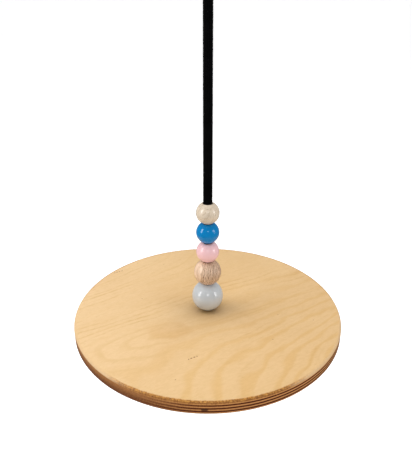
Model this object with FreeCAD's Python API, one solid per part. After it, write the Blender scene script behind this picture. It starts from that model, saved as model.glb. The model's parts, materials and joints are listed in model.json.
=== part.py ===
import FreeCAD, Part
import math
import os

os.makedirs("parts", exist_ok=True)

# Disc swing: a round plywood seat on a single rope, five threaded beads, a
# thimble eye, a snap hook and a ceiling plate with a hanging bow.
# Millimetres, Z up, origin at the centre of the plate's ceiling face.

V = FreeCAD.Vector
UP = V(0, 0, 1)

# ---- driving sizes -------------------------------------------------------
seat_d = 300.0            # plywood disc
seat_t = 15.0             # nine plies
seat_round = 3.0          # round-over on both rims
rope_d = 10.0             # braided rope, over the crowns
bore_slack = 0.4          # radial room between rope and any wooden bore
bore_chamfer = 0.4

grey_d = 35.0             # bead diameters, from the seat upwards
grained_d = 30.0
pink_d = 25.0
blue_d = 25.0
natural_d = 25.0
gaps = (0.3, 0.3, 0.6, 0.9, 0.5)   # air under each bead, seat upwards

rod_d = 8.0               # steel rod of the hook and of the hanging bow
hook_gap = 0.3            # air where one hooked part rides in the next
plate_x, plate_y, plate_t = 80.0, 60.0, 4.0
plate_corner = 8.0
hole_inset = 10.0         # plate edge to hole centre
hole_r = 3.3
sink_r, sink_depth = 5.8, 2.5      # countersink on the underside
bow_leg = 17.0            # half spacing of the bow legs
bow_drop = 30.0           # plate underside to bow rod centre
bow_corner = 10.0

link_h = 72.0             # hook centreline height
link_w = 16.0             # hook centreline half width
link_corner = 9.5
pin_rise = 18.0           # gate pin above the hook's lower bow
nose_len = 15.4           # hook top down to the nose
gate_gap = 0.6            # air at both ends of the gate
fork_slack = 0.3          # air between tongue, pin and forked gate
pin_r = 1.25
tongue_t = 3.8            # flat end of the hook inside the forked gate

eye_height = 417.0        # seat top face to centre of the thimble crown
crown_r = 16.5            # rope centreline round the crown
leg_left, leg_right = 30.0, 10.0   # slope of the two legs, degrees
throat_bend = 30.0        # rope centreline where the legs close up
leg_gap = 1.5             # between standing part and tail
metal_slack = 0.05        # rope to thimble and ferrule
thimble_wall = 1.4
thimble_lip = 2.0
thimble_leg = 22.0        # crown centre down to the thimble's feet
ferrule_len = 30.0
ferrule_wall = 2.5
ferrule_below = 1.0       # end of the throat bend to ferrule
tail_out = 11.0           # cut tail below the ferrule

washer_d, washer_t = 36.0, 2.0
washer_slack = 0.5
knot_d, knot_h, knot_round = 34.0, 28.0, 10.0
knot_tail_len = 30.0

# ---- levels that follow --------------------------------------------------
rope_r = rope_d / 2
rod_r = rod_d / 2
bore_r = rope_r + bore_slack
bow_z = -(plate_t + bow_drop)
link_top = bow_z + rod_d + hook_gap
link_bot = link_top - link_h
pin_z = link_bot + pin_rise
shoulder_z = pin_z - rod_r - gate_gap
nose_z = link_top - nose_len
groove_r = rope_r + metal_slack
leg_space = rope_d + leg_gap
crown_in = crown_r - groove_r - thimble_wall
eye_z = link_bot + rod_r + hook_gap - crown_in
seat_top = eye_z - eye_height
seat_bot = seat_top - seat_t
knot_top = seat_bot - washer_t
knot_bot = knot_top - knot_h


def save(shape, name):
    """Write one sub-part, which has to be a single sound solid."""
    shape = shape.removeSplitter()
    solid = shape.Solids[0]
    if len(shape.Solids) != 1 or not solid.isValid():
        raise RuntimeError(name + " is not one valid solid")
    solid.exportStep("parts/" + name + ".step")
    box = solid.BoundBox
    print("%-16s %10.1f mm3  z %8.2f .. %8.2f" % (name, solid.Volume, box.ZMin, box.ZMax))


def rounded_path(points, radii):
    """Edges of a polyline with its inner corners rounded."""
    edges = []
    start = points[0]
    for i, radius in enumerate(radii, 1):
        corner = points[i]
        a = (points[i - 1] - corner).normalize()
        b = (points[i + 1] - corner).normalize()
        half = a.getAngle(b) / 2
        reach = radius / math.tan(half)
        bisector = (a + b).normalize()
        p = corner + a * reach
        q = corner + b * reach
        mid = corner + bisector * (radius / math.sin(half) - radius)
        edges.append(Part.LineSegment(start, p).toShape())
        edges.append(Part.Arc(p, mid, q).toShape())
        start = q
    edges.append(Part.LineSegment(start, points[-1]).toShape())
    return edges


def round_bar(edges, radius):
    """Round bar that follows a smooth run of edges."""
    first = edges[0]
    at = first.valueAt(first.FirstParameter)
    along = first.tangentAt(first.FirstParameter)
    ring = Part.Wire(Part.Circle(at, along, radius).toShape())
    bar = Part.Wire(edges).makePipeShell([ring], True, False)
    length = sum(e.Length for e in edges)
    print("bar %.1f mm long, volume ratio %.4f" % (length, bar.Volume / (math.pi * radius ** 2 * length)))
    return bar


# ---- seat and beads ------------------------------------------------------
def make_seat():
    disc = Part.makeCylinder(seat_d / 2, seat_t, V(0, 0, seat_bot))
    rims = [e for e in disc.Edges if e.Closed and abs(e.BoundBox.XLength - seat_d) < 1e-3]
    disc = disc.makeFillet(seat_round, rims)
    disc = disc.cut(Part.makeCylinder(bore_r, seat_t + 2, V(0, 0, seat_bot - 1)))
    wide = bore_r + bore_chamfer
    disc = disc.cut(Part.makeCone(bore_r, wide, bore_chamfer, V(0, 0, seat_top - bore_chamfer)))
    return disc.cut(Part.makeCone(wide, bore_r, bore_chamfer, V(0, 0, seat_bot)))


def bead_half(d):
    """Bead centre to the rim of its chamfered bore."""
    return math.sqrt((d / 2) ** 2 - (bore_r + bore_chamfer) ** 2)


def make_bead(d, z):
    half = bead_half(d)
    flare = 2 * bore_chamfer
    ball = Part.makeSphere(d / 2, V(0, 0, z))
    ball = ball.cut(Part.makeCylinder(bore_r, d + 2, V(0, 0, z - d / 2 - 1)))
    upper = Part.makeCone(bore_r, bore_r + flare, flare, V(0, 0, z + half - bore_chamfer))
    lower = Part.makeCone(bore_r + flare, bore_r, flare, V(0, 0, z - half + bore_chamfer - flare))
    return ball.cut(upper).cut(lower)


# ---- rope, thimble, ferrule ----------------------------------------------
a, b = math.radians(leg_left), math.radians(leg_right)
left_top = V(-crown_r * math.cos(a), 0, eye_z - crown_r * math.sin(a))
right_top = V(crown_r * math.cos(b), 0, eye_z - crown_r * math.sin(b))
left_foot = V(0, 0, left_top.z + left_top.x / math.tan(a))
right_foot = V(leg_space, 0, right_top.z - (right_top.x - leg_space) / math.tan(b))
left_end = left_foot.z - throat_bend * math.tan(a / 2)
right_end = right_foot.z - throat_bend * math.tan(b / 2)
ferrule_top = min(left_end, right_end) - ferrule_below
ferrule_bot = ferrule_top - ferrule_len


def make_rope():
    lead = rounded_path([V(0, 0, knot_top), left_foot, left_top], [throat_bend])
    crown = Part.Arc(left_top, V(0, 0, eye_z + crown_r), right_top).toShape()
    tail = rounded_path([right_top, right_foot, V(leg_space, 0, ferrule_bot - tail_out)], [throat_bend])
    return round_bar(lead + [crown] + tail, rope_r)


def make_thimble():
    ro = groove_r + thimble_wall
    z = eye_z + crown_r
    lip = z + thimble_lip
    outline = Part.Wire([
        Part.Arc(V(0, -ro, z), V(0, 0, z - ro), V(0, ro, z)).toShape(),
        Part.LineSegment(V(0, ro, z), V(0, ro, lip)).toShape(),
        Part.LineSegment(V(0, ro, lip), V(0, groove_r, lip)).toShape(),
        Part.LineSegment(V(0, groove_r, lip), V(0, groove_r, z)).toShape(),
        Part.Arc(V(0, groove_r, z), V(0, 0, z - groove_r), V(0, -groove_r, z)).toShape(),
        Part.LineSegment(V(0, -groove_r, z), V(0, -groove_r, lip)).toShape(),
        Part.LineSegment(V(0, -groove_r, lip), V(0, -ro, lip)).toShape(),
        Part.LineSegment(V(0, -ro, lip), V(0, -ro, z)).toShape()])
    centre = V(0, 0, eye_z)
    across = V(0, 1, 0)
    start = Part.Face(outline)
    start.rotate(centre, across, -(90 + leg_left))
    end = Part.Face(outline)
    end.rotate(centre, across, 90 + leg_right)
    stop = eye_z - thimble_leg
    left = start.extrude(V(math.sin(a), 0, -math.cos(a)) * ((left_top.z - stop) / math.cos(a)))
    right = end.extrude(V(-math.sin(b), 0, -math.cos(b)) * ((right_top.z - stop) / math.cos(b)))
    crown = start.revolve(centre, across, 180 + leg_left + leg_right)
    return crown.fuse([left, right])


def make_ferrule():
    r = rope_r + ferrule_wall
    low = ferrule_bot
    outline = Part.Wire([
        Part.LineSegment(V(0, -r, low), V(leg_space, -r, low)).toShape(),
        Part.Arc(V(leg_space, -r, low), V(leg_space + r, 0, low), V(leg_space, r, low)).toShape(),
        Part.LineSegment(V(leg_space, r, low), V(0, r, low)).toShape(),
        Part.Arc(V(0, r, low), V(-r, 0, low), V(0, -r, low)).toShape()])
    sleeve = Part.Face(outline).extrude(V(0, 0, ferrule_len))
    ends = [e for e in sleeve.Edges if e.BoundBox.ZLength < 1e-6]
    sleeve = sleeve.makeFillet(1.5, ends)
    for x in (0, leg_space):
        sleeve = sleeve.cut(Part.makeCylinder(groove_r, ferrule_len + 2, V(x, 0, low - 1)))
    return sleeve


# ---- washer and knot under the seat --------------------------------------
def make_washer():
    ring = Part.makeCylinder(washer_d / 2, washer_t, V(0, 0, knot_top))
    return ring.cut(Part.makeCylinder(rope_r + washer_slack, washer_t + 2, V(0, 0, knot_top - 1)))


def make_knot():
    lump = Part.makeCylinder(knot_d / 2, knot_h, V(0, 0, knot_bot))
    rims = [e for e in lump.Edges if e.Closed]
    return lump.makeFillet(knot_round, rims)


def make_knot_tail():
    tail = Part.makeCylinder(rope_r, knot_tail_len, V(0, 0, knot_bot - knot_tail_len))
    rim = [e for e in tail.Edges if e.Closed and e.BoundBox.ZMax < knot_bot - 1]
    return tail.makeFillet(1.0, rim)


# ---- snap hook -----------------------------------------------------------
def make_hook():
    path = rounded_path([V(0, link_w, nose_z), V(0, link_w, link_top), V(0, -link_w, link_top),
                         V(0, -link_w, link_bot), V(0, link_w, link_bot), V(0, link_w, shoulder_z)],
                        [link_corner] * 4)
    body = round_bar(path, rod_r)
    half = rod_r - metal_slack
    tongue = Part.makeBox(tongue_t, 2 * half, pin_z - shoulder_z + 1, V(-tongue_t / 2, link_w - half, shoulder_z - 1))
    tip = Part.makeCylinder(half, tongue_t, V(-tongue_t / 2, link_w, pin_z), V(1, 0, 0))
    body = body.fuse([tongue, tip])
    return body.cut(Part.makeCylinder(pin_r + metal_slack, 20, V(-10, link_w, pin_z), V(1, 0, 0)))


def make_gate():
    top = nose_z - gate_gap
    bar = Part.makeCylinder(rod_r, top - pin_z + rod_r, V(0, link_w, pin_z - rod_r))
    keep = Part.makeBox(20, 20, top - pin_z + 1, V(-10, link_w - 10, pin_z))
    keep = keep.fuse(Part.makeCylinder(rod_r, 20, V(-10, link_w, pin_z), V(1, 0, 0)))
    bar = bar.common(keep)
    half = tongue_t / 2 + fork_slack
    slot = Part.makeBox(2 * half, 20, 2 * (rod_r + fork_slack), V(-half, link_w - 10, pin_z - rod_r - fork_slack))
    bar = bar.cut(slot)
    bar = bar.cut(Part.makeCylinder(pin_r + fork_slack, 20, V(-10, link_w, pin_z), V(1, 0, 0)))
    rim = [e for e in bar.Edges if e.Closed and abs(e.BoundBox.ZMin - top) < 1e-6]
    return bar.makeFillet(0.6, rim)


def make_pin():
    return Part.makeCylinder(pin_r, 2 * rod_r - 0.6, V(-rod_r + 0.3, link_w, pin_z), V(1, 0, 0))


# ---- ceiling plate and bow -----------------------------------------------
def make_plate():
    plate = Part.makeBox(plate_x, plate_y, plate_t, V(-plate_x / 2, -plate_y / 2, -plate_t))
    corners = [e for e in plate.Edges if e.BoundBox.ZLength > plate_t / 2]
    plate = plate.makeFillet(plate_corner, corners)
    for sx in (-1, 1):
        for sy in (-1, 1):
            at = V(sx * (plate_x / 2 - hole_inset), sy * (plate_y / 2 - hole_inset), -plate_t)
            plate = plate.cut(Part.makeCylinder(hole_r, plate_t + 2, at - UP))
            plate = plate.cut(Part.makeCone(sink_r, hole_r, sink_depth, at))
    return plate


def make_bow():
    path = rounded_path([V(-bow_leg, 0, -plate_t), V(-bow_leg, 0, bow_z), V(bow_leg, 0, bow_z), V(bow_leg, 0, -plate_t)],
                        [bow_corner] * 2)
    return round_bar(path, rod_r)


save(make_plate(), "ceiling_plate")
save(make_bow(), "hanging_bow")
save(make_hook(), "hook_body")
save(make_gate(), "hook_gate")
save(make_pin(), "gate_pin")
save(make_thimble(), "thimble")
save(make_ferrule(), "ferrule")
save(make_rope(), "rope")
save(make_washer(), "washer")
save(make_knot(), "stopper_knot")
save(make_knot_tail(), "knot_tail")
save(make_seat(), "seat_disc")

level = seat_top
for name, d, gap in zip(("bead_grey", "bead_grained", "bead_pink", "bead_blue", "bead_natural"),
                        (grey_d, grained_d, pink_d, blue_d, natural_d), gaps):
    centre_z = level + gap + bead_half(d)
    save(make_bead(d, centre_z), name)
    level = centre_z + bead_half(d)
    print("  centre %.3f, %.3f above the seat" % (centre_z, centre_z - seat_top))

print("bow %.3f link top %.3f bottom %.3f pin %.3f eye %.3f" % (bow_z, link_top, link_bot, pin_z, eye_z))
print("seat %.3f .. %.3f knot %.3f .. %.3f" % (seat_bot, seat_top, knot_bot, knot_top))
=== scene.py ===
"""Disc swing with threaded beads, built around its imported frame.

Every size is in metres, and every place comes from the frame: the seat lies level, the rope
runs straight up through it along Z, and its eye lies in the XZ plane.
"""

import json
import math
import random

import bmesh
import bpy
from bpy.props import FloatProperty, FloatVectorProperty, IntProperty, PointerProperty
from mathutils import Matrix, Vector, noise

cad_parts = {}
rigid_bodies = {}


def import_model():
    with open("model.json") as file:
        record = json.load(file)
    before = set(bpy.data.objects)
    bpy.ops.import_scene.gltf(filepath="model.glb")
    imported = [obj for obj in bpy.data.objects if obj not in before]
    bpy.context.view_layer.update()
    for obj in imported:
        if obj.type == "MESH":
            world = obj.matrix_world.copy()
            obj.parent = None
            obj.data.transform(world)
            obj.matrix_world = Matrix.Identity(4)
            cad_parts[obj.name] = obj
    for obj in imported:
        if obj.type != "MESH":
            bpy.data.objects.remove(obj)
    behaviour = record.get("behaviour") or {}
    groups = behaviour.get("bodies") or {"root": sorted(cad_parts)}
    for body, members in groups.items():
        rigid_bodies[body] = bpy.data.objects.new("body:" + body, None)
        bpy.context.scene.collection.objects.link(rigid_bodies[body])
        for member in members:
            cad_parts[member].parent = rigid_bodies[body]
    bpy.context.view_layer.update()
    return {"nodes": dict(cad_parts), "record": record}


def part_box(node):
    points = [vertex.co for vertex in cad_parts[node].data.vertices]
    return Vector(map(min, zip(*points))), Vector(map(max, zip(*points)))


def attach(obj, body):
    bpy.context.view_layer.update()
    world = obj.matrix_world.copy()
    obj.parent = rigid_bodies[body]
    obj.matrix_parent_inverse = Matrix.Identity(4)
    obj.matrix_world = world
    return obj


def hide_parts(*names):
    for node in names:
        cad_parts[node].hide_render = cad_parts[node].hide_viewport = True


bl_info = {
    "name": "Disc Swing",
    "version": (1, 0, 0),
    "blender": (4, 5, 0),
    "location": "3D View > Sidebar > Swing",
    "description": "Plywood disc seat on a braided rope with wooden beads, hook and ceiling plate",
    "category": "Object",
}

for leftover in list(bpy.data.objects):
    bpy.data.objects.remove(leftover)

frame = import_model()

MM = 0.001
PER_METRE = (1000, 1000, 1000)
BEADS = ("bead_grey", "bead_grained", "bead_pink", "bead_blue", "bead_natural")
DOWN = Vector((0, 0, -1))


def body_of(node):
    """Name of the CAD body that carries a node."""
    groups = frame["record"]["behaviour"]["bodies"]
    return next(body for body, nodes in groups.items() if node in nodes)


def middle(node):
    """Centre of a CAD node's box."""
    low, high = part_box(node)
    return (low + high) / 2


# ---------------------------------------------------------------------------
# Settings
# ---------------------------------------------------------------------------


def shade(tint, red, green=None, blue=None):
    """A colour with its parts scaled, none past 1; one factor serves all three."""
    factors = (red, red if green is None else green, red if blue is None else blue)
    return tuple(min(1.0, part * factor) for part, factor in zip(tint, factors))


def colour(name, description, default):
    return FloatVectorProperty(name=name, description=description, default=default,
                               subtype="COLOR", size=3, min=0.0, max=1.0)


def length(name, description, default):
    return FloatProperty(name=name, description=description, default=default,
                         unit="LENGTH", subtype="DISTANCE", precision=5, min=0.0)


class SwingSeatSettings(bpy.types.PropertyGroup):
    plies: IntProperty(name="Plies", description="Number of glued veneers", default=9, min=3)
    round_over: length("Round-over", "Radius on both rims of the disc", 3.0 * MM)
    bore: length("Bore", "Radius of the rope hole", 5.4 * MM)
    bore_chamfer: length("Bore chamfer", "Chamfer on the rope hole", 0.4 * MM)
    grain_turn: FloatProperty(name="Grain turn", description="Direction of the face grain",
                              default=math.radians(30), subtype="ANGLE", unit="ROTATION")
    face: colour("Face", "Clear face veneer", (0.668, 0.456, 0.232))
    # This colour is also the painted highlight along the rim's round-over.
    sapwood: colour("Sapwood", "Paler veneer towards one side", (0.71, 0.500, 0.275))
    figure: colour("Figure", "Growth lines in the face veneer", (0.545, 0.325, 0.118))
    dark_ply: colour("Dark plies", "Every second ply on the sanded edge", (0.074, 0.012, 0.001))
    light_ply: colour("Light plies", "The plies between", (0.52, 0.228, 0.070))
    toast: colour("Toasted rim", "Face ply where the router heated it", (0.40, 0.150, 0.020))


class SwingBeadSettings(bpy.types.PropertyGroup):
    rim_softening: length("Rim softening", "Rounding of the bore rims", 0.25 * MM)
    grey: colour("Grey", "Pearl grey lacquer", (0.515, 0.543, 0.566))
    pink: colour("Pink", "Pink lacquer", (0.820, 0.509, 0.530))
    blue: colour("Blue", "Blue lacquer", (0.0, 0.190, 0.475))
    natural: colour("Natural", "Pale wood under clear lacquer", (0.655, 0.550, 0.427))
    grained: colour("Grained", "Open-grained wood", (0.665, 0.480, 0.338))
    pores: colour("Pores", "Dark pores of the open-grained wood", (0.125, 0.042, 0.019))


class SwingRopeSettings(bpy.types.PropertyGroup):
    diameter: length("Diameter", "Rope over its crowns", 10.0 * MM)
    loft: length("Loft", "How far the loose yarns stand proud of the crowns", 0.18 * MM)
    carriers: IntProperty(name="Carriers", description="Strands laid in each direction", default=8, min=4)
    pitch: length("Pitch", "Length in which a strand goes once round", 36.0 * MM)
    yarn: length("Yarn radius", "Radius of each of a strand's two yarns", 0.74 * MM)
    weave: length("Weave", "How far a strand rises over its neighbour", 0.58 * MM)
    fibre: colour("Fibre", "Polypropylene fibre", (0.0012, 0.0012, 0.0014))


class SwingMetalSettings(bpy.types.PropertyGroup):
    zinc: colour("Zinc", "Bright zinc plating", (0.86, 0.87, 0.89))
    galvanised: colour("Galvanised", "Dull hot zinc", (0.70, 0.71, 0.72))
    aluminium: colour("Aluminium", "Pressed sleeve", (0.91, 0.91, 0.92))


class SwingStageSettings(bpy.types.PropertyGroup):
    distance: length("Distance", "Camera to the middle of the seat's face", 0.5962)
    elevation: FloatProperty(name="Elevation", description="Camera above the seat",
                             default=0.588, subtype="ANGLE", unit="ROTATION")
    tilt: FloatProperty(name="Tilt", description="Camera's slope below level",
                        default=0.4299, subtype="ANGLE", unit="ROTATION")
    pan: FloatProperty(name="Pan", description="Camera's turn to the left",
                       default=0.0037, subtype="ANGLE", unit="ROTATION")
    lens: FloatProperty(name="Lens", description="Focal length on a 36 mm sensor",
                        default=40.70, subtype="DISTANCE_CAMERA")
    floor_drop: length("Floor drop", "Floor below the knot", 0.42)
    room_light: FloatProperty(name="Room light", description="White light from all round", default=0.46)
    room_gloss: FloatProperty(name="Room gloss", description="The same where it is mirrored", default=0.20)


# ---------------------------------------------------------------------------
# Shader maths
# ---------------------------------------------------------------------------


class Field:
    """One shader socket. Arithmetic on fields adds the Math nodes for it."""

    def __init__(self, graph, socket):
        self.graph = graph
        self.socket = socket

    def _math(self, operation, *values):
        return self.graph.node("ShaderNodeMath", {"operation": operation}, *values)

    def __add__(self, other):
        return self._math("ADD", self, other)

    def __sub__(self, other):
        return self._math("SUBTRACT", self, other)

    def __rsub__(self, other):
        return self._math("SUBTRACT", other, self)

    def __mul__(self, other):
        return self._math("MULTIPLY", self, other)

    def __truediv__(self, other):
        return self._math("DIVIDE", self, other)

    __radd__ = __add__
    __rmul__ = __mul__

    def fn(self, operation, *others):
        """Any other Math operation, such as FRACT, ABSOLUTE or MAXIMUM."""
        return self._math(operation, self, *others)

    def ramp(self, low, high, smooth=True):
        """0 below low, 1 above high; low may be the larger, which turns it round."""
        settings = {"interpolation_type": "SMOOTHSTEP" if smooth else "LINEAR"}
        return self.graph.node("ShaderNodeMapRange", settings, self, low, high, 0.0, 1.0)


class Graph:
    """A new node material that ends in one Principled shader."""

    def __init__(self, name):
        self.material = bpy.data.materials.new(name)
        self.material.use_nodes = True
        self.tree = self.material.node_tree
        self.shader = self.tree.nodes["Principled BSDF"]
        self.place = self.node("ShaderNodeTexCoord", {}, out="Object")

    def _feed(self, socket, value):
        if isinstance(value, Field):
            self.tree.links.new(value.socket, socket)
        elif value is not None:
            if hasattr(socket.default_value, "__len__") and len(socket.default_value) == 4:
                value = (*value, 1.0)
            socket.default_value = value

    def node(self, kind, settings, *values, out=0, **named):
        """Adds a node: its settings first, then its sockets in order or by name."""
        made = self.tree.nodes.new(kind)
        for key, value in settings.items():
            setattr(made, key, value)
        sockets = [s for s in made.inputs if s.enabled]
        for socket, value in zip(sockets, values):
            self._feed(socket, value)
        for key, value in named.items():
            self._feed(next(s for s in sockets if s.name == key.replace("_", " ")), value)
        outputs = [s for s in made.outputs if s.enabled]
        found = outputs[out] if isinstance(out, int) else next(s for s in outputs if s.name == out)
        return Field(self, found)

    def mapped(self, centre=(0, 0, 0), turn=(0, 0, 0), scale=PER_METRE):
        """Object coordinates about a centre, turned and then scaled, to millimetres if not told."""
        moved = self.node("ShaderNodeVectorMath", {"operation": "SUBTRACT"}, self.place, tuple(centre))
        rotated = self.node("ShaderNodeVectorRotate", {"rotation_type": "EULER_XYZ", "invert": True},
                            Vector=moved, Rotation=tuple(turn))
        return self.node("ShaderNodeVectorMath", {"operation": "MULTIPLY"}, rotated, tuple(scale))

    def axes(self, vector):
        """The three parts of a vector as fields."""
        split = self.tree.nodes.new("ShaderNodeSeparateXYZ")
        self._feed(split.inputs[0], vector)
        return [Field(self, s) for s in split.outputs]

    def join(self, x, y, z):
        return self.node("ShaderNodeCombineXYZ", {}, x, y, z)

    def noise(self, vector, scale, detail=2.0, roughness=0.5):
        return self.node("ShaderNodeTexNoise", {}, Vector=vector, Scale=scale, Detail=detail,
                         Roughness=roughness)

    def specks(self, vector, scale, radius, share):
        """Round marks: 1 inside a mark, in that share of the cells."""
        settings = {"feature": "F1", "voronoi_dimensions": "2D"}
        near = self.node("ShaderNodeTexVoronoi", settings, Vector=vector, Scale=scale, out="Distance")
        lot = self.node("ShaderNodeTexVoronoi", settings, Vector=vector, Scale=scale, out="Color")
        return near.ramp(radius, radius * 0.4) * self.axes(lot)[0].ramp(share, share * 0.98)

    def mix(self, factor, first, second, blend="MIX"):
        """Colour mix; colours are tuples or fields."""
        return self.node("ShaderNodeMix", {"data_type": "RGBA", "blend_type": blend}, factor, first, second)

    def bump(self, height, distance, strength):
        return self.node("ShaderNodeBump", {}, Strength=strength, Distance=distance, Height=height)

    def finish(self, **values):
        for key, value in values.items():
            self._feed(self.shader.inputs[key.replace("_", " ")], value)
        return self.material


# ---------------------------------------------------------------------------
# Materials
# ---------------------------------------------------------------------------


# The birch face is drawn in millimetres from the middle of the disc: u runs along its grain, v
# across it, x to the right and y to the back.
FAN = 0.36 / 110.0 ** 2  # how fast the growth lines spread from the middle
ARCH_END = -74.0  # u where the growth lines start to close into arches
ARCH_ROW = -26.0  # v of the arches' own middle line
RING = 8.5  # from one growth line to the next
CURL = 22.0  # from one wide soft curl to the next
# Painted shadow of the bead stack on the seat's face, to the front left of the beads.
PAINTED_SHADOW_PATCH = (-40.0, -44.0, 25.0, 17.0)  # x, y, half its width, half its depth
PALE_PATCH = (-52.0, -8.0, 30.0, 14.0)
DARK_SPOT = (-2.6, 8.6, 3.4, 1.9)  # mark in the front edge: x, depth, half its width and height
FLECK_PITCH = 3.4
FLECK_ROWS = ((-57.1, -69.8, 3), (-59.5, 129.0, 4))  # u, v and how many flecks
RIM_HIGHLIGHT_FROM = 88.0  # x past which the rim shows a painted highlight in place of the toast, before noise
RIM_HIGHLIGHT_FULL = 118.0


def oval(across, along, at_across, at_along, half_across, half_along):
    """1 on an ellipse, less inside it and more outside."""
    first = (across - at_across) / half_across
    second = (along - at_along) / half_along
    return first * first + second * second


def flecks(u, v, at_u, at_v, count):
    """A short row of dark bark flecks that follows the grain."""
    along = u - at_u
    half = count * FLECK_PITCH / 2
    row = (v - at_v).fn("ABSOLUTE").ramp(0.75, 0.35)
    reach = along.fn("ABSOLUTE").ramp(half + 0.3, half)
    dash = ((along / FLECK_PITCH).fn("FRACT") - 0.5).fn("ABSOLUTE").ramp(0.34, 0.22)
    return row * reach * dash


def face_veneer(g, settings, u, v, w, x, y):
    """Rotary-cut birch: its colour, and how much of it is growth line or dark fleck."""
    # Growth lines run along the grain through the middle, fan out towards both flanks, and
    # close into arches on the left.
    sway = (g.noise(g.join(u * 0.5, v, 3.0), 0.014, 1.0, 0.5) - 0.5) * 26.0
    ripple = (g.noise(g.join(u * 0.7, v * 1.1, 40.0), 0.05, 2.0, 0.5) - 0.5) * 7.0
    spread = v.ramp(10.0, -90.0) * 0.40 + 1.0
    line = v - (v * v * FAN * spread - 0.05) * u + sway + ripple
    closing = ((u - ARCH_END) * -0.30).fn("MAXIMUM", 0.0)
    arch = line - ARCH_ROW
    ring = (arch * arch + closing * closing).fn("SQRT")

    growth = ring / RING + (g.noise(g.join(u * 0.3, v, 80.0), 0.03, 1.0, 0.5) - 0.5) * 1.6
    phase = growth.fn("FRACT")
    late = phase.ramp(0.0, 0.14) * phase.ramp(0.52, 0.16)
    year = g.noise(g.join(growth.fn("FLOOR") * 5.3, 0.5, 0.5), 1.0, 0.0, 0.5).ramp(0.38, 0.64)
    patchy = g.noise(g.join(u * 0.35, v, 7.0), 0.03, 1.0, 0.5).ramp(0.40, 0.68)
    at_arch = u.ramp(-50.0, -85.0) * ring.ramp(34.0, 18.0)
    tooth = g.noise(g.join(u * 0.45, v * 1.1, 30.0), 0.42, 2.0, 0.7)
    fine = late * (year * 0.54 + 0.07) * (patchy * 0.70 + 0.14) * (tooth.ramp(0.30, 0.66) * 0.85 + 0.45)
    fine = fine * (1.0 - (x - y).ramp(0.0, 150.0) * 0.62)
    fine = fine.fn("MAXIMUM", late * at_arch * 0.24)

    # The wide soft curls lie mostly towards the front right.
    swirl = (g.noise(g.join(line * 1.1, u * 0.45, 60.0), 0.040, 2.0, 0.55) - 0.5) * 1.5
    curl = ((ring / CURL + swirl).fn("FRACT") - 0.5).fn("ABSOLUTE").ramp(0.22, 0.45)
    flank = (x - y).ramp(-40.0, 150.0) * 0.40 + 0.08
    broad = curl * flank

    fibre = g.noise(g.join(u * 0.05, v * 1.3, w), 1.1, 3.0, 0.6)
    cloud = g.noise(g.join(u * 0.5, v, 20.0), 0.022, 2.0, 0.5)
    tint = g.mix(x.ramp(10.0, -150.0), tuple(settings.face), tuple(settings.sapwood))
    tint = g.mix(cloud.ramp(0.30, 0.72) * 0.45, tint, (0.93, 0.89, 0.83), "MULTIPLY")
    tint = g.mix(fibre.ramp(0.30, 0.72) * 0.30, tint, (1.10, 1.11, 1.13), "MULTIPLY")
    tint = g.mix(tooth.ramp(0.34, 0.66) * 0.75, tint, (0.95, 0.93, 0.89), "MULTIPLY")
    pores = g.noise(g.join(u * 0.16, v * 1.5, 4.0), 0.9, 2.0, 0.6).ramp(0.60, 0.72)
    tint = g.mix(pores * 0.55, tint, (0.88, 0.82, 0.72), "MULTIPLY")
    tint = g.mix(broad, tint, (0.91, 0.80, 0.55), "MULTIPLY")
    tint = g.mix(fine, tint, tuple(settings.figure))

    # A darker patch of painted shadow from the beads, and a pale patch behind it, left of the middle.
    edge_noise = (g.noise(g.join(u * 0.5, v, 9.0), 0.09, 2.0, 0.6) - 0.5) * 0.9
    painted_shadow = oval(x, y, *PAINTED_SHADOW_PATCH) + edge_noise
    pale = oval(x, y, *PALE_PATCH) + edge_noise
    # Painted shadow: darkens the face where the beads' shadow falls.
    tint = g.mix(painted_shadow.ramp(1.15, 0.55) * 0.60, tint, (0.92, 0.86, 0.77), "MULTIPLY")
    tint = g.mix(pale.ramp(1.3, 0.4) * 0.45, tint, (1.07, 1.09, 1.12), "MULTIPLY")

    pins = g.specks(g.join(u * 0.75, v, 0.0), 0.045, 0.026, 0.09)
    for at_u, at_v, count in FLECK_ROWS:
        pins = pins.fn("MAXIMUM", flecks(u, v, at_u, at_v, count))
    tint = g.mix(pins * 0.95, tint, (0.20, 0.055, 0.010))
    return tint, fine, pins, fibre


def ply_edge(g, settings, v, radius, depth, ply, streak, speckle):
    """Sanded plies: pale and dark by turns where the rim runs along the face grain, else alike; painted
    shade darkens the lower plies.
    """
    layer = depth / ply
    wander = (g.noise(g.mapped(), 0.05, 2.0, 0.6) - 0.5) * 0.45
    layer = layer + wander * (depth.ramp(1.0, 3.0) * depth.ramp(14.5, 12.0))
    odd = (layer * 0.5).fn("FRACT").ramp(0.44, 0.56) * (layer * 0.5).fn("FRACT").ramp(1.0, 0.94)
    across = (v / radius).fn("ABSOLUTE").ramp(0.52, 0.95)
    paleness = across * (odd - 0.56) + 0.54 + (streak - 0.5) * 0.80
    # Painted shade: the plies grow darker towards the bottom of the edge, less so where the rim runs along
    # the face grain.
    paleness = paleness - depth.ramp(3.0, 11.0) * (1.0 - across * 0.7) * 0.36
    edge = g.mix(paleness.ramp(0.0, 1.0, smooth=False), tuple(settings.dark_ply), tuple(settings.light_ply))
    inside = layer.fn("FRACT")
    glue = inside.ramp(0.10, 0.02).fn("MAXIMUM", inside.ramp(0.92, 0.99))
    edge = g.mix(glue * 0.42, edge, (0.060, 0.019, 0.005))
    edge = g.mix(speckle.ramp(0.62, 0.78) * 0.16, edge, (0.43, 0.19, 0.055))
    return edge, glue


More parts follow.
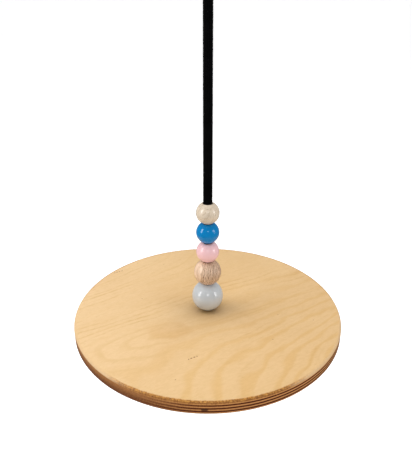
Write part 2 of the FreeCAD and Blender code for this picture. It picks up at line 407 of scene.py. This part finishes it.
def birch_plywood(settings):
    """Birch plywood under satin varnish: figured face veneer and banded, sanded edge."""
    g = Graph("birch_plywood")
    low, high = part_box("seat_disc")
    ply = (high.z - low.z) / settings.plies / MM
    rim = high.x / MM
    u, v, w = g.axes(g.mapped(centre=(0, 0, high.z), turn=(0, 0, settings.grain_turn)))
    x, y, z = g.axes(g.mapped())
    face, fine, pins, fibre = face_veneer(g, settings, u, v, w, x, y)

    depth = w * -1.0
    radius = (u * u + v * v).fn("SQRT")
    streak = g.noise(g.join(x, y, z * 0.35), 1.3, 3.0, 0.7)
    speckle = g.noise(g.join(x, y, z), 2.6, 2.0, 0.6)
    edge, glue = ply_edge(g, settings, v, radius, depth, ply, streak, speckle)
    spot = oval(x, depth, *DARK_SPOT)
    edge = g.mix(spot.ramp(1.3, 0.5) * y.ramp(0.0, -10.0) * 0.85, edge, (0.05, 0.014, 0.003))

    # On the round-over the face ply is cut at a slant: fuzzy, open and toasted by the cutter.
    fray = radius - (rim - settings.round_over / MM)
    fray = fray + (g.noise(g.join(u * 0.30, v * 0.8, 2.0), 0.7, 3.0, 0.7) - 0.5) * 2.2
    fray = fray + y.ramp(0.0, 110.0) * 0.9
    open_ply = fray.ramp(0.1, 1.3)
    mottle = g.noise(g.join(x * 0.9, y * 0.9, z * 0.45), 0.55, 2.0, 0.65)
    scorch = mottle.ramp(0.40, 0.58) * 0.6 + streak.ramp(0.36, 0.62) * 0.4
    toasted = g.mix(scorch, shade(settings.toast, 0.38, 0.26, 0.14), shade(settings.toast, 1.38, 1.66, 2.30))
    first_glue = (depth + (streak - 0.5) * 0.7).ramp(1.0, 1.45) * depth.ramp(2.3, 1.75)
    toasted = g.mix(first_glue * 0.62, toasted, shade(settings.toast, 0.38, 0.24, 0.12))
    # Painted highlight: the pale sapwood colour laid over the toast at the left and right of the rim's front
    # half.
    bare = g.noise(g.join(x, y, 5.0), 0.035, 2.0, 0.5) * 40.0 + x.fn("ABSOLUTE")
    bare = bare.ramp(RIM_HIGHLIGHT_FROM, RIM_HIGHLIGHT_FULL) * y.ramp(45.0, 5.0)
    toasted = g.mix(bare * 0.80, toasted, tuple(settings.sapwood))
    face = g.mix(open_ply * 0.92, face, toasted)
    on_edge = (depth + (streak - 0.5) * 1.2).ramp(ply * 1.05, ply * 1.75)
    on_edge = on_edge * depth.ramp(ply * (settings.plies - 0.7), ply * (settings.plies - 0.9))
    bore = radius.ramp(settings.bore / MM + 0.35, settings.bore / MM + 0.15)
    on_edge = on_edge.fn("MAXIMUM", bore)
    tint = g.mix(on_edge, face, edge)

    rough = 0.37 + on_edge * 0.24 + open_ply * 0.06 + (fibre - 0.5) * 0.10
    relief = fibre * 0.5 + fine * 0.25 - pins * 0.8
    relief = relief * (1.0 - on_edge) + on_edge * (streak * 1.2 + speckle * 0.7 - glue * 0.7)
    relief = relief + open_ply * (streak * 0.9)
    normal = g.bump(relief, 0.06 * MM, 0.55)
    varnish = (1.0 - on_edge) * (1.0 - open_ply * 0.7) * 0.40
    return g.finish(Base_Color=tint, Roughness=rough, Coat_Weight=varnish, Normal=normal, IOR=1.48,
                    Specular_IOR_Level=0.10, Coat_Roughness=0.30)


def lacquer(name, node, tint, gloss, pearl, shine=0.5):
    """Coloured gloss over turned wood: the grain shows as a faint relief and shade."""
    g = Graph(name)
    spot = g.mapped(centre=middle(node), turn=(0.5, 0.35, 0.0))
    x, y, z = g.axes(spot)
    grain = g.noise(g.join(x * 1.4, y * 1.4, z * 0.10), 0.9, 3.0, 0.6)
    cloud = g.noise(spot, 0.05, 1.0, 0.5)
    light = tuple(min(1.0, part * 1.05 + pearl) for part in tint)
    paint = g.mix(cloud.ramp(0.30, 0.70), shade(tint, 0.94), light)
    paint = g.mix(grain.ramp(0.50, 0.75) * 0.10, paint, shade(tint, 0.82))
    orange_peel = g.noise(spot, 0.55, 2.0, 0.5)
    normal = g.bump(orange_peel * 0.7 + grain * 0.3, 0.02 * MM, 0.30)
    rough = gloss + cloud * 0.05
    return g.finish(Base_Color=paint, Roughness=rough, Normal=normal, IOR=1.5, Specular_IOR_Level=shine)


def clear_lacquer(settings):
    """Pale close-grained wood under clear gloss, with a few thin slanting veins."""
    g = Graph("clear_lacquer")
    spot = g.mapped(centre=middle("bead_natural"), turn=(0.25, 0.55, 0.2))
    x, y, z = g.axes(spot)
    drift = g.noise(spot, 0.09, 2.0, 0.5)
    vein = g.noise(g.join(x + drift * 5.0, y, z * 0.14), 0.38, 2.0, 0.5)
    line = (vein - 0.5).fn("ABSOLUTE").ramp(0.040, 0.006)
    fibre = g.noise(g.join(x * 2.0, y * 2.0, z * 0.16), 1.6, 3.0, 0.65)
    base = tuple(settings.natural)
    wood = g.mix(drift.ramp(0.30, 0.70), shade(base, 0.94), shade(base, 1.07))
    wood = g.mix(fibre.ramp(0.45, 0.72) * 0.25, wood, shade(base, 0.80, 0.74, 0.66))
    wood = g.mix(line * 0.48, wood, shade(base, 0.55, 0.47, 0.38))
    normal = g.bump(fibre * 0.5 - line * 0.5, 0.03 * MM, 0.4)
    return g.finish(Base_Color=wood, Roughness=0.20 + fibre * 0.06, Normal=normal, IOR=1.5)


PITH = (-16.0, -11.5)  # x and y of the heart of the tree from the bead's middle, in millimetres
YEAR = 1.55  # width of the grained bead's growth rings


def open_grain(settings):
    """Ring-porous wood: pore lines curl round the left side and run down the front."""
    g = Graph("bare_grained_wood")
    spot = g.mapped(centre=middle("bead_grained"), turn=(-0.34, 0.16, 0.0))
    x, y, z = g.axes(spot)
    drift = (g.noise(g.join(x, y, z * 0.6), 0.10, 2.0, 0.5) - 0.5) * 4.5
    drift = drift + (g.noise(g.join(x, y, z), 0.32, 1.0, 0.5) - 0.5) * 1.6
    from_pith_x = x - PITH[0] + drift + z * 0.10
    from_pith_y = y - PITH[1] - z * 0.16
    ring = (from_pith_x * from_pith_x + from_pith_y * from_pith_y).fn("SQRT") / YEAR
    phase = ring.fn("FRACT")
    porous = phase.ramp(0.0, 0.12) * phase.ramp(0.58, 0.26) * ring.ramp(5.6, 6.6)
    broken = g.noise(g.join(x, y, z * 0.14), 1.0, 2.0, 0.6).ramp(0.34, 0.56)
    band = g.noise(g.join(x + drift, y, z * 0.12), 0.20, 2.0, 0.6)
    hair = g.noise(g.join(x + drift, y + 30.0, z * 0.10), 1.3, 2.0, 0.6).ramp(0.58, 0.68)
    pore = (porous * (broken * 0.60 + 0.40)).fn("MAXIMUM", hair * 0.50)
    base = tuple(settings.grained)
    wood = g.mix(band.ramp(0.34, 0.66), shade(base, 1.22), shade(base, 0.94, 0.90, 0.85))
    wood = g.mix(pore * 0.92, wood, tuple(settings.pores))
    normal = g.bump(pore * -1.0 + band * 0.2, 0.08 * MM, 0.5)
    return g.finish(Base_Color=wood, Roughness=0.36 + pore * 0.25, Normal=normal, IOR=1.47)


def black_fibre(settings):
    """Spun black polypropylene, nearly matt and a little fuzzy."""
    g = Graph("black_rope")
    spot = g.mapped()
    fuzz = g.noise(spot, 2.2, 3.0, 0.7)
    broad = g.noise(spot, 0.05, 2.0, 0.5)
    base = tuple(settings.fibre)
    tint = g.mix(fuzz.ramp(0.40, 0.75), base, tuple(part * 3.0 + 0.001 for part in base))
    tint = g.mix(broad.ramp(0.45, 0.70) * 0.3, tint, (0.005, 0.005, 0.006))
    normal = g.bump(fuzz, 0.10 * MM, 0.6)
    return g.finish(Base_Color=tint, Roughness=0.60 + fuzz * 0.2, Normal=normal, IOR=1.45,
                    Specular_IOR_Level=0.03)


def metal(name, tint, rough, spangle, scratch):
    """Zinc or aluminium: a spangled skin with wear and long scuffs."""
    g = Graph(name)
    spot = g.mapped()
    cells = g.node("ShaderNodeTexVoronoi", {"feature": "F1"}, Vector=spot, Scale=spangle, out="Color")
    facet = g.axes(cells)[0]
    wear = g.noise(spot, 0.12, 4.0, 0.6)
    fine = g.noise(spot, 2.5, 3.0, 0.65)
    scuff = g.noise(g.mapped(turn=(0.6, 0.3, 0.8), scale=(1000, 60, 1000)), 0.9, 2.0, 0.6).ramp(0.60, 0.72)
    skin = g.mix(facet * 0.30 + wear.ramp(0.35, 0.75) * 0.35, tuple(tint), shade(tint, 0.74))
    skin = g.mix(scuff * scratch, skin, shade(tint, 1.25))
    roughness = rough + (wear - 0.5) * 0.22 + facet * 0.08 - scuff * 0.06
    normal = g.bump(fine * 0.7 + scuff * scratch, 0.03 * MM, 0.14)
    return g.finish(Base_Color=skin, Roughness=roughness, Metallic=1.0, Normal=normal)


def stage_white():
    """Matt white sweep, lifted a little so that it reads as paper white."""
    g = Graph("stage_white")
    tooth = g.noise(g.place, 60.0, 2.0, 0.5)
    return g.finish(Base_Color=(0.93, 0.93, 0.93), Roughness=0.9 + tooth * 0.05,
                    Emission_Color=(1.0, 1.0, 1.0), Emission_Strength=0.45)


# ---------------------------------------------------------------------------
# Mesh helpers
# ---------------------------------------------------------------------------


def new_piece(name, mesh, material, body, replaces):
    """Links a finished mesh as a piece that rides on a body, with its own material, and hides the CAD nodes
    it replaces.
    """
    piece = bpy.data.objects.new(name, mesh)
    bpy.context.collection.objects.link(piece)
    mesh.materials.clear()
    mesh.materials.append(material)
    mesh.shade_smooth()
    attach(piece, body)
    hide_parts(*replaces)
    return piece


def bm_mesh(name, bm):
    """Writes a bmesh out with its faces turned outwards."""
    bmesh.ops.remove_doubles(bm, verts=bm.verts, dist=1e-7)
    bmesh.ops.recalc_face_normals(bm, faces=bm.faces)
    mesh = bpy.data.meshes.new(name)
    bm.to_mesh(mesh)
    bm.free()
    return mesh


def outline(bm, points):
    """Closed wire through points given as (radius, height)."""
    verts = [bm.verts.new((r, 0.0, z)) for r, z in points]
    for first, second in zip(verts, verts[1:] + verts[:1]):
        bm.edges.new((first, second))
    return verts


def turned(bm, steps):
    """Spins everything in a bmesh once round Z."""
    bmesh.ops.spin(bm, geom=bm.verts[:] + bm.edges[:], cent=(0, 0, 0), axis=(0, 0, 1),
                   dvec=(0, 0, 0), angle=math.tau, steps=steps, use_merge=True, use_duplicate=False)


def give_nodes(material, *nodes):
    """Gives CAD nodes that stay as they are their finished material."""
    for node in nodes:
        for place in frame["nodes"][node].material_slots:
            place.material = material


# ---------------------------------------------------------------------------
# Seat
# ---------------------------------------------------------------------------


class SWING_OT_seat(bpy.types.Operator):
    """Turn the plywood disc with its round-overs, its ply lines and its bore"""

    bl_idname = "swing.seat"
    bl_label = "Seat"

    STEPS = 540
    EDGE_CUTS = 44
    SANDING = 0.05 * MM
    GLUE_SHARE = 0.16
    COARSE_GRIT = 900.0
    FINE_GRIT = 2300.0
    WASHER_ROOM = 0.02 * MM

    def execute(self, context):
        s = context.scene.swing_seat
        low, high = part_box("seat_disc")
        under = low.z + self.WASHER_ROOM
        bm = bmesh.new()
        rim = high.x
        wide = s.bore + s.bore_chamfer
        points = [(s.bore, high.z - s.bore_chamfer), (wide, high.z), (rim * 0.5, high.z), (rim, high.z),
                  (rim, under), (rim * 0.5, under), (wide, under), (s.bore, under + s.bore_chamfer)]
        verts = outline(bm, points)
        bmesh.ops.bevel(bm, geom=[verts[3], verts[4]], offset=s.round_over, offset_type="OFFSET",
                        segments=12, profile=0.5, affect="VERTICES", material=-1)
        flank = [e for e in bm.edges
                 if all(v.co.x > rim - 1e-5 for v in e.verts) and e.calc_length() > s.round_over]
        bmesh.ops.subdivide_edges(bm, edges=flank, cuts=self.EDGE_CUTS)
        turned(bm, self.STEPS)
        self.sand(bm, s, low.z, high.z, rim)
        mesh = bm_mesh("plywood_seat", bm)
        new_piece("plywood_seat", mesh, birch_plywood(s), "seat", replaces=["seat_disc"])
        return {"FINISHED"}

    def sand(self, bm, s, low, high, rim):
        """Sanding leaves each glue line a hair below the rest, and a fine grit all over."""
        ply = (high - low) / s.plies
        for v in bm.verts:
            flat = Vector((v.co.x, v.co.y))
            if flat.length < rim - s.round_over * 0.8:
                continue
            inside = ((high - v.co.z) / ply) % 1.0
            line = max(0.0, 1.0 - min(inside, 1.0 - inside) / self.GLUE_SHARE)
            grit = noise.noise(v.co * self.COARSE_GRIT) + 0.5 * noise.noise(v.co * self.FINE_GRIT)
            sink = self.SANDING * (line + 0.6 * (grit + 1.0))
            keep = 1.0 - sink / flat.length
            v.co.x *= keep
            v.co.y *= keep


# ---------------------------------------------------------------------------
# Beads
# ---------------------------------------------------------------------------


class SWING_OT_beads(bpy.types.Operator):
    """Turn the five beads and finish each one in its own wood or lacquer"""

    bl_idname = "swing.beads"
    bl_label = "Beads"

    STEPS = 120
    ARC = 56

    def execute(self, context):
        b = context.scene.swing_beads
        finishes = {
            "bead_grey": lacquer("grey_lacquer", "bead_grey", b.grey, 0.15, 0.02),
            "bead_grained": open_grain(b),
            "bead_pink": lacquer("pink_lacquer", "bead_pink", b.pink, 0.20, 0.02),
            "bead_blue": lacquer("blue_lacquer", "bead_blue", b.blue, 0.08, 0.0, 0.34),
            "bead_natural": clear_lacquer(b),
        }
        for node in BEADS:
            mesh = self.turn_bead(context, node, b.rim_softening)
            new_piece(node.replace("bead_", "turned_bead_"), mesh, finishes[node], body_of(node),
                      replaces=[node])
        return {"FINISHED"}

    def turn_bead(self, context, node, soft):
        """A ball between two chamfered rims, swept as one arc and spun about the rope."""
        seat = context.scene.swing_seat
        low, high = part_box(node)
        centre = (low + high) / 2
        wide = seat.bore + seat.bore_chamfer
        half = (high.z - low.z) / 2
        radius = math.hypot(half, wide)
        sweep = math.pi - 2 * math.asin(wide / radius)
        bm = bmesh.new()
        start = bm.verts.new((wide, 0.0, centre.z + half))
        made = bmesh.ops.spin(bm, geom=[start], cent=(0, 0, centre.z), axis=(0, 1, 0), dvec=(0, 0, 0),
                              angle=sweep, steps=self.ARC, use_merge=False, use_duplicate=False)
        end = next(item for item in made["geom_last"] if isinstance(item, bmesh.types.BMVert))
        upper = bm.verts.new((seat.bore, 0.0, centre.z + half - seat.bore_chamfer))
        lower = bm.verts.new((seat.bore, 0.0, centre.z - half + seat.bore_chamfer))
        for pair in ((start, upper), (upper, lower), (lower, end)):
            bm.edges.new(pair)
        bmesh.ops.bevel(bm, geom=[start, end], offset=soft, offset_type="OFFSET", segments=4, profile=0.5,
                        affect="VERTICES", material=-1)
        turned(bm, self.STEPS)
        return bm_mesh(node, bm)


# ---------------------------------------------------------------------------
# Rope and knot
# ---------------------------------------------------------------------------


def route_line(name, points):
    """Smooth line of a route, read from its NURBS spline as a list of vectors."""
    data = bpy.data.curves.new(name, "CURVE")
    data.dimensions = "3D"
    data.resolution_u = 24
    spline = data.splines.new("NURBS")
    spline.points.add(len(points) - 1)
    for item, place in zip(spline.points, points):
        item.co = (*place, 1.0)
    spline.order_u = 3
    spline.use_endpoint_u = True
    holder = bpy.data.objects.new(name, data)
    bpy.context.collection.objects.link(holder)
    bpy.context.view_layer.update()
    mesh = bpy.data.meshes.new_from_object(holder)
    line = [v.co.copy() for v in mesh.vertices]
    bpy.data.objects.remove(holder)
    bpy.data.meshes.remove(mesh)
    return line


def evenly(line, step):
    """Points a fixed step apart along a line, with the travel to each."""
    travel = [0.0]
    for first, second in zip(line, line[1:]):
        travel.append(travel[-1] + (second - first).length)
    count = max(2, round(travel[-1] / step))
    places = []
    index = 0
    for i in range(count + 1):
        want = travel[-1] * i / count
        while index < len(line) - 2 and travel[index + 1] < want:
            index += 1
        span = travel[index + 1] - travel[index]
        share = (want - travel[index]) / span if span > 0 else 0.0
        places.append((want, line[index].lerp(line[index + 1], share)))
    return places


def frames_along(places):
    """Place, side and binormal at each point, turned as little as possible from one to the next."""
    side = None
    result = []
    for i, (travel, place) in enumerate(places):
        before = places[max(0, i - 1)][1]
        after = places[min(len(places) - 1, i + 1)][1]
        tangent = (after - before).normalized()
        if side is None:
            side = Vector((0, 1, 0)).cross(tangent)
        side = (side - tangent * side.dot(tangent)).normalized()
        result.append((travel, place, side, tangent.cross(side)))
    return result


YARN_SPREAD = 1.1564  # from a strand's middle to each of its yarns, in yarn radii
LEAD = 0.03  # most that a yarn runs ahead of its place, in radians
SLACK_WAVES = 260.0  # how fast the yarns' slack comes and goes, per metre


def braided(name, line, settings, step):
    """Round braid about a line: strands of two yarns that cross over and under, on a core."""
    s = settings
    spots = frames_along(evenly(line, step))
    middle_r = s.diameter / 2 + s.loft - s.yarn - s.weave
    data = bpy.data.curves.new(name, "CURVE")
    data.dimensions = "3D"
    data.bevel_depth = s.yarn
    data.bevel_resolution = 0
    data.use_fill_caps = True
    dice = random.Random(7)
    for direction in (1, -1):
        for carrier in range(s.carriers):
            for half in (-1, 1):
                lead = dice.uniform(-LEAD, LEAD)
                spline = data.splines.new("POLY")
                spline.points.add(len(spots) - 1)
                for item, (travel, place, side, binormal) in zip(spline.points, spots):
                    turn = math.tau * travel / s.pitch
                    angle = direction * turn + math.tau * carrier / s.carriers
                    angle += half * s.yarn * YARN_SPREAD / middle_r + lead
                    lift = direction * s.weave * math.cos(s.carriers * 2 * turn)
                    spot = Vector((travel * SLACK_WAVES, direction * (carrier + 1.0), half * 3.0))
                    slack = noise.noise(spot)
                    reach = middle_r + lift + slack * s.loft
                    outwards = side * math.cos(angle) + binormal * math.sin(angle)
                    item.co = (*(place + outwards * reach), 1.0)
    core = data.splines.new("POLY")
    core.points.add(len(spots) - 1)
    for item, (travel, place, side, binormal) in zip(core.points, spots):
        item.co = (*place, 1.0)
        item.radius = (middle_r - s.weave - s.yarn * 0.2) / s.yarn
    holder = bpy.data.objects.new(name, data)
    bpy.context.collection.objects.link(holder)
    bpy.context.view_layer.update()
    mesh = bpy.data.meshes.new_from_object(holder)
    bpy.data.objects.remove(holder)
    return mesh


END_SHARE = 0.47  # radius of a melted end, in rope diameters
END_FLATNESS = 0.42
LUMPS = 700.0
LUMP_SIZE = 0.05


def seal_end(mesh, place, diameter):
    """Melts the hanging cut end of a braid shut: a low, lumpy dome across the yarns."""
    turn = Vector((0, 0, 1)).rotation_difference(DOWN).to_matrix().to_4x4()
    bm = bmesh.new()
    bm.from_mesh(mesh)
    made = bmesh.ops.create_uvsphere(bm, u_segments=32, v_segments=16, radius=diameter * END_SHARE)
    for v in made["verts"]:
        v.co.z *= END_FLATNESS
        v.co *= 1.0 + LUMP_SIZE * noise.noise(v.co * LUMPS)
    bmesh.ops.transform(bm, matrix=Matrix.Translation(place) @ turn, verts=made["verts"])
    bm.to_mesh(mesh)
    bm.free()


ROPE_ROUTE = [
    (0.0, 0.0, -0.53745),
    (0.0, 0.0, -0.15645),
    (0.0, 0.0, -0.13645),
    (-0.00998, 0.0, -0.11916),
    (-0.01858, 0.0, -0.10426),
    (-0.01132, 0.0, -0.08869),
    (0.00559, 0.0, -0.08571),
    (0.01774, 0.0, -0.09786),
    (0.01475, 0.0, -0.11480),
    (0.01150, 0.0, -0.13325),
    (0.01150, 0.0, -0.15000),
    (0.01150, 0.0, -0.18649),
]


class SWING_OT_rope(bpy.types.Operator):
    """Braid the rope from the knot through seat, beads and thimble, and tie the knot"""

    bl_idname = "swing.rope"
    bl_label = "Rope and knot"

    STEP = 1.125 * MM
    KNOT_TURNS = 1.75
    PER_TURN = 12
    FIRST_ANGLE = -0.9
    WRAP_ROOM = 0.56
    WRAP_RISE = 0.98

    def execute(self, context):
        s = context.scene.swing_rope
        fibre = black_fibre(s)
        knot = self.tie_knot(s, fibre)
        line = route_line("rope_route", [Vector(p) for p in ROPE_ROUTE])
        mesh = braided("braided_rope", line, s, self.STEP)
        tail = line[-1]
        seal_end(mesh, tail, s.diameter)
        rope = new_piece("braided_rope", mesh, fibre, "rope_line", replaces=["rope"])
        return {"FINISHED"}

    def tie_knot(self, s, fibre):
        """Double overhand knot: the rope drops through, climbs round nearly twice and drops out."""
        low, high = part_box("stopper_knot")
        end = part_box("knot_tail")[0].z
        top = high.z
        wrap_r = (high.x - low.x) / 2 - s.diameter * self.WRAP_ROOM
        rise = s.diameter * self.WRAP_RISE
        first = low.z + s.diameter * self.WRAP_ROOM
        route = [
            Vector((0, 0, top + 0.002)),
            Vector((-0.0025, 0, top - 0.009)),
            Vector((-0.003, -0.001, first + 0.006)),
            Vector((0.001, -0.006, first + 0.0005)),
        ]
        for i in range(round(self.KNOT_TURNS * self.PER_TURN) + 1):
            angle = self.FIRST_ANGLE + math.tau * i / self.PER_TURN
            height = first + rise * i / self.PER_TURN
            route.append(Vector((math.cos(angle) * wrap_r, math.sin(angle) * wrap_r, height)))
        route += [
            Vector((0.004, 0.005, top - 0.0055)),
            Vector((0.003, 0.002, top - 0.012)),
            Vector((0.001, 0.0, low.z + 0.006)),
            Vector((0.0, 0.0, low.z - 0.006)),
            Vector((0.0006, 0.0004, end + 0.002)),
        ]
        line = route_line("knot_route", route)
        mesh = braided("double_overhand_knot", line, s, self.STEP)
        seal_end(mesh, line[-1], s.diameter)
        return new_piece("double_overhand_knot", mesh, fibre, "rope_line",
                         replaces=["stopper_knot", "knot_tail"])


# ---------------------------------------------------------------------------
# Metal fittings
# ---------------------------------------------------------------------------


class SWING_OT_fittings(bpy.types.Operator):
    """Finish the ceiling plate, bow, hook, thimble and washer, and press the sleeve"""

    bl_idname = "swing.fittings"
    bl_label = "Metal fittings"

    SLEEVE_SIDES = 96
    SLEEVE_CUTS = 79
    CROWN = 0.35
    DIE_MARKS = 3
    DIE_MARK = 0.55 * MM
    END_ROUND = 1.5 * MM

    def execute(self, context):
        m = context.scene.swing_metal
        give_nodes(metal("zinc_plate", m.zinc, 0.30, 0.35, 0.35), "ceiling_plate", "hanging_bow")
        give_nodes(metal("zinc_hook", m.zinc, 0.22, 0.8, 0.5), "hook_body", "hook_gate", "gate_pin")
        give_nodes(metal("galvanised", m.galvanised, 0.42, 0.45, 0.2), "thimble", "washer")
        sleeve = metal("pressed_aluminium", m.aluminium, 0.34, 0.9, 0.4)
        new_piece("pressed_sleeve", self.pressed_sleeve(), sleeve, "rope_line",
                  replaces=["ferrule"])
        return {"FINISHED"}

    def pressed_sleeve(self):
        """Oval sleeve round both runs of rope, with rounded ends and three die marks."""
        low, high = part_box("ferrule")
        radius = (high.y - low.y) / 2
        reach = (high.x - low.x) / 2 - radius
        tall = high.z - low.z
        bm = bmesh.new()
        ring = bmesh.ops.create_circle(bm, cap_ends=True, segments=self.SLEEVE_SIDES, radius=radius)
        for v in ring["verts"]:
            v.co.x += reach * max(-1.0, min(1.0, v.co.x / (self.CROWN * radius)))
            v.co.z = low.z
        lifted = bmesh.ops.extrude_face_region(bm, geom=bm.faces[:])
        top = [v for v in lifted["geom"] if isinstance(v, bmesh.types.BMVert)]
        bmesh.ops.translate(bm, vec=(0, 0, tall), verts=top)
        upright = [e for e in bm.edges if abs(e.verts[0].co.z - e.verts[1].co.z) > tall / 2]
        bmesh.ops.subdivide_edges(bm, edges=upright, cuts=self.SLEEVE_CUTS)
        for v in bm.verts:
            height = v.co.z - low.z
            inset = self.end_round(min(height, tall - height))
            mark = math.sin(math.pi * (self.DIE_MARKS * height / tall)) ** 2
            waist = self.DIE_MARK * mark ** 0.6 if min(height, tall - height) > 0 else 0.0
            v.co.x *= 1.0 - inset / (radius + reach)
            v.co.y *= 1.0 - (inset + waist) / radius
        bmesh.ops.translate(bm, vec=((low.x + high.x) / 2, 0, 0), verts=bm.verts[:])
        return bm_mesh("pressed_sleeve", bm)

    def end_round(self, away):
        """How far a rounded end draws in at a distance from it."""
        left = max(0.0, self.END_ROUND - away)
        return self.END_ROUND - math.sqrt(self.END_ROUND ** 2 - left ** 2)


# ---------------------------------------------------------------------------
# Stage
# ---------------------------------------------------------------------------


class SWING_OT_stage(bpy.types.Operator):
    """Place the camera, the soft lights and the white sweep"""

    bl_idname = "swing.stage"
    bl_label = "Stage"

    # name, direction from the beads, distance, size across, size up, power, in gloss, in shade
    LAMPS = (
        ("window_left", (-0.85, -0.36, 0.39), 1.10, 0.28, 0.72, 5.6, True, False),
        ("window_right", (0.89, -0.36, 0.28), 1.20, 0.22, 0.62, 4.2, True, False),
        ("camera_lamp", (0.03, -0.86, 0.51), 1.30, 0.18, 0.24, 1.9, True, True),
        ("fill_left", (-0.80, 0.05, 0.50), 1.15, 1.20, 1.20, 9.4, False, True),
        ("fill_right", (0.85, -0.10, 0.50), 1.30, 1.40, 1.40, 3.9, False, True),
        ("fill_front", (0.05, -0.88, 0.40), 1.50, 1.40, 1.00, 0.7, False, True),
        ("ceiling_bank", (0.03, -0.02, 1.0), 1.85, 2.30, 2.30, 21.4, False, True),
    )

    def execute(self, context):
        s = context.scene.swing_stage
        seat_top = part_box("seat_disc")[1].z
        self.camera(context, s, seat_top)
        aim = Vector((0, 0, seat_top + 0.06))
        for lamp in self.LAMPS:
            self.lamp(context, aim, *lamp)
        self.sweep(context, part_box("knot_tail")[0].z - s.floor_drop)
        context.scene.world = self.room(s)
        context.scene.view_settings.view_transform = "Standard"
        return {"FINISHED"}

    def room(self, s):
        """White room light, dimmer where it is only mirrored."""
        world = bpy.data.worlds.new("studio")
        world.use_nodes = True
        tree = world.node_tree
        light = tree.nodes["Background"]
        mirrored = tree.nodes.new("ShaderNodeBackground")
        for source, strength in ((light, s.room_light), (mirrored, s.room_gloss)):
            source.inputs["Color"].default_value = (1.0, 1.0, 1.0, 1.0)
            source.inputs["Strength"].default_value = strength
        path = tree.nodes.new("ShaderNodeLightPath")
        blend = tree.nodes.new("ShaderNodeMixShader")
        tree.links.new(path.outputs["Is Glossy Ray"], blend.inputs["Fac"])
        tree.links.new(light.outputs["Background"], blend.inputs[1])
        tree.links.new(mirrored.outputs["Background"], blend.inputs[2])
        tree.links.new(blend.outputs["Shader"], tree.nodes["World Output"].inputs["Surface"])
        return world

    def camera(self, context, s, seat_top):
        data = bpy.data.cameras.new("camera")
        data.lens = s.lens
        data.sensor_width = 36.0
        data.sensor_fit = "AUTO"
        data.clip_start = 0.01
        item = bpy.data.objects.new("camera", data)
        back = s.distance * math.cos(s.elevation)
        item.location = (0.0, -back, seat_top + s.distance * math.sin(s.elevation))
        item.rotation_euler = (math.pi / 2 - s.tilt, 0.0, s.pan)
        context.collection.objects.link(item)
        context.scene.camera = item

    def lamp(self, context, aim, name, towards, far, across, up, power, in_gloss, in_shade):
        data = bpy.data.lights.new(name, "AREA")
        data.shape = "RECTANGLE"
        data.size = across
        data.size_y = up
        data.energy = power
        item = bpy.data.objects.new(name, data)
        item.visible_glossy = in_gloss
        item.visible_diffuse = in_shade
        way = Vector(towards).normalized()
        item.location = aim + way * far
        item.rotation_euler = way.to_track_quat("Z", "Y").to_euler()
        context.collection.objects.link(item)

    def sweep(self, context, level):
        """Floor that curves up into a back wall on the far side."""
        bm = bmesh.new()
        half, reach, bend, wall = 9.0, 7.0, 2.0, 6.0
        verts = [bm.verts.new((-half, y, z)) for y, z in ((-half, 0.0), (reach, 0.0), (reach, wall))]
        for pair in zip(verts, verts[1:]):
            bm.edges.new(pair)
        bmesh.ops.bevel(bm, geom=[verts[1]], offset=bend, offset_type="OFFSET", segments=16, profile=0.5,
                        affect="VERTICES", material=-1)
        moved = bmesh.ops.extrude_edge_only(bm, edges=bm.edges[:])
        far_side = [v for v in moved["geom"] if isinstance(v, bmesh.types.BMVert)]
        bmesh.ops.translate(bm, vec=(2 * half, 0, 0), verts=far_side)
        bmesh.ops.translate(bm, vec=(0, 0, level), verts=bm.verts[:])
        mesh = bm_mesh("white_sweep", bm)
        mesh.materials.append(stage_white())
        mesh.shade_smooth()
        item = bpy.data.objects.new("white_sweep", mesh)
        item.visible_glossy = False
        context.collection.objects.link(item)


# ---------------------------------------------------------------------------
# Add-on
# ---------------------------------------------------------------------------


class SWING_PT_panel(bpy.types.Panel):
    """Swing pieces in the sidebar"""

    bl_idname = "SWING_PT_panel"
    bl_label = "Disc Swing"
    bl_space_type = "VIEW_3D"
    bl_region_type = "UI"
    bl_category = "Swing"

    def draw(self, context):
        for group, operator in (("swing_seat", SWING_OT_seat), ("swing_beads", SWING_OT_beads),
                                ("swing_rope", SWING_OT_rope), ("swing_metal", SWING_OT_fittings),
                                ("swing_stage", SWING_OT_stage)):
            box = self.layout.box()
            settings = getattr(context.scene, group)
            for key in settings.bl_rna.properties.keys():
                if key not in ("rna_type", "name"):
                    box.prop(settings, key)
            box.operator(operator.bl_idname)


GROUPS = {
    "swing_seat": SwingSeatSettings,
    "swing_beads": SwingBeadSettings,
    "swing_rope": SwingRopeSettings,
    "swing_metal": SwingMetalSettings,
    "swing_stage": SwingStageSettings,
}
OPERATORS = (SWING_OT_seat, SWING_OT_beads, SWING_OT_rope, SWING_OT_fittings, SWING_OT_stage)


def register():
    for cls in (*GROUPS.values(), *OPERATORS, SWING_PT_panel):
        bpy.utils.register_class(cls)
    for name, cls in GROUPS.items():
        setattr(bpy.types.Scene, name, PointerProperty(type=cls))


def unregister():
    for name in GROUPS:
        delattr(bpy.types.Scene, name)
    for cls in (SWING_PT_panel, *reversed(OPERATORS), *GROUPS.values()):
        bpy.utils.unregister_class(cls)


def main():
    register()
    for make in (bpy.ops.swing.stage, bpy.ops.swing.seat, bpy.ops.swing.beads, bpy.ops.swing.rope,
                 bpy.ops.swing.fittings):
        make()


if __name__ == "__main__":
    main()
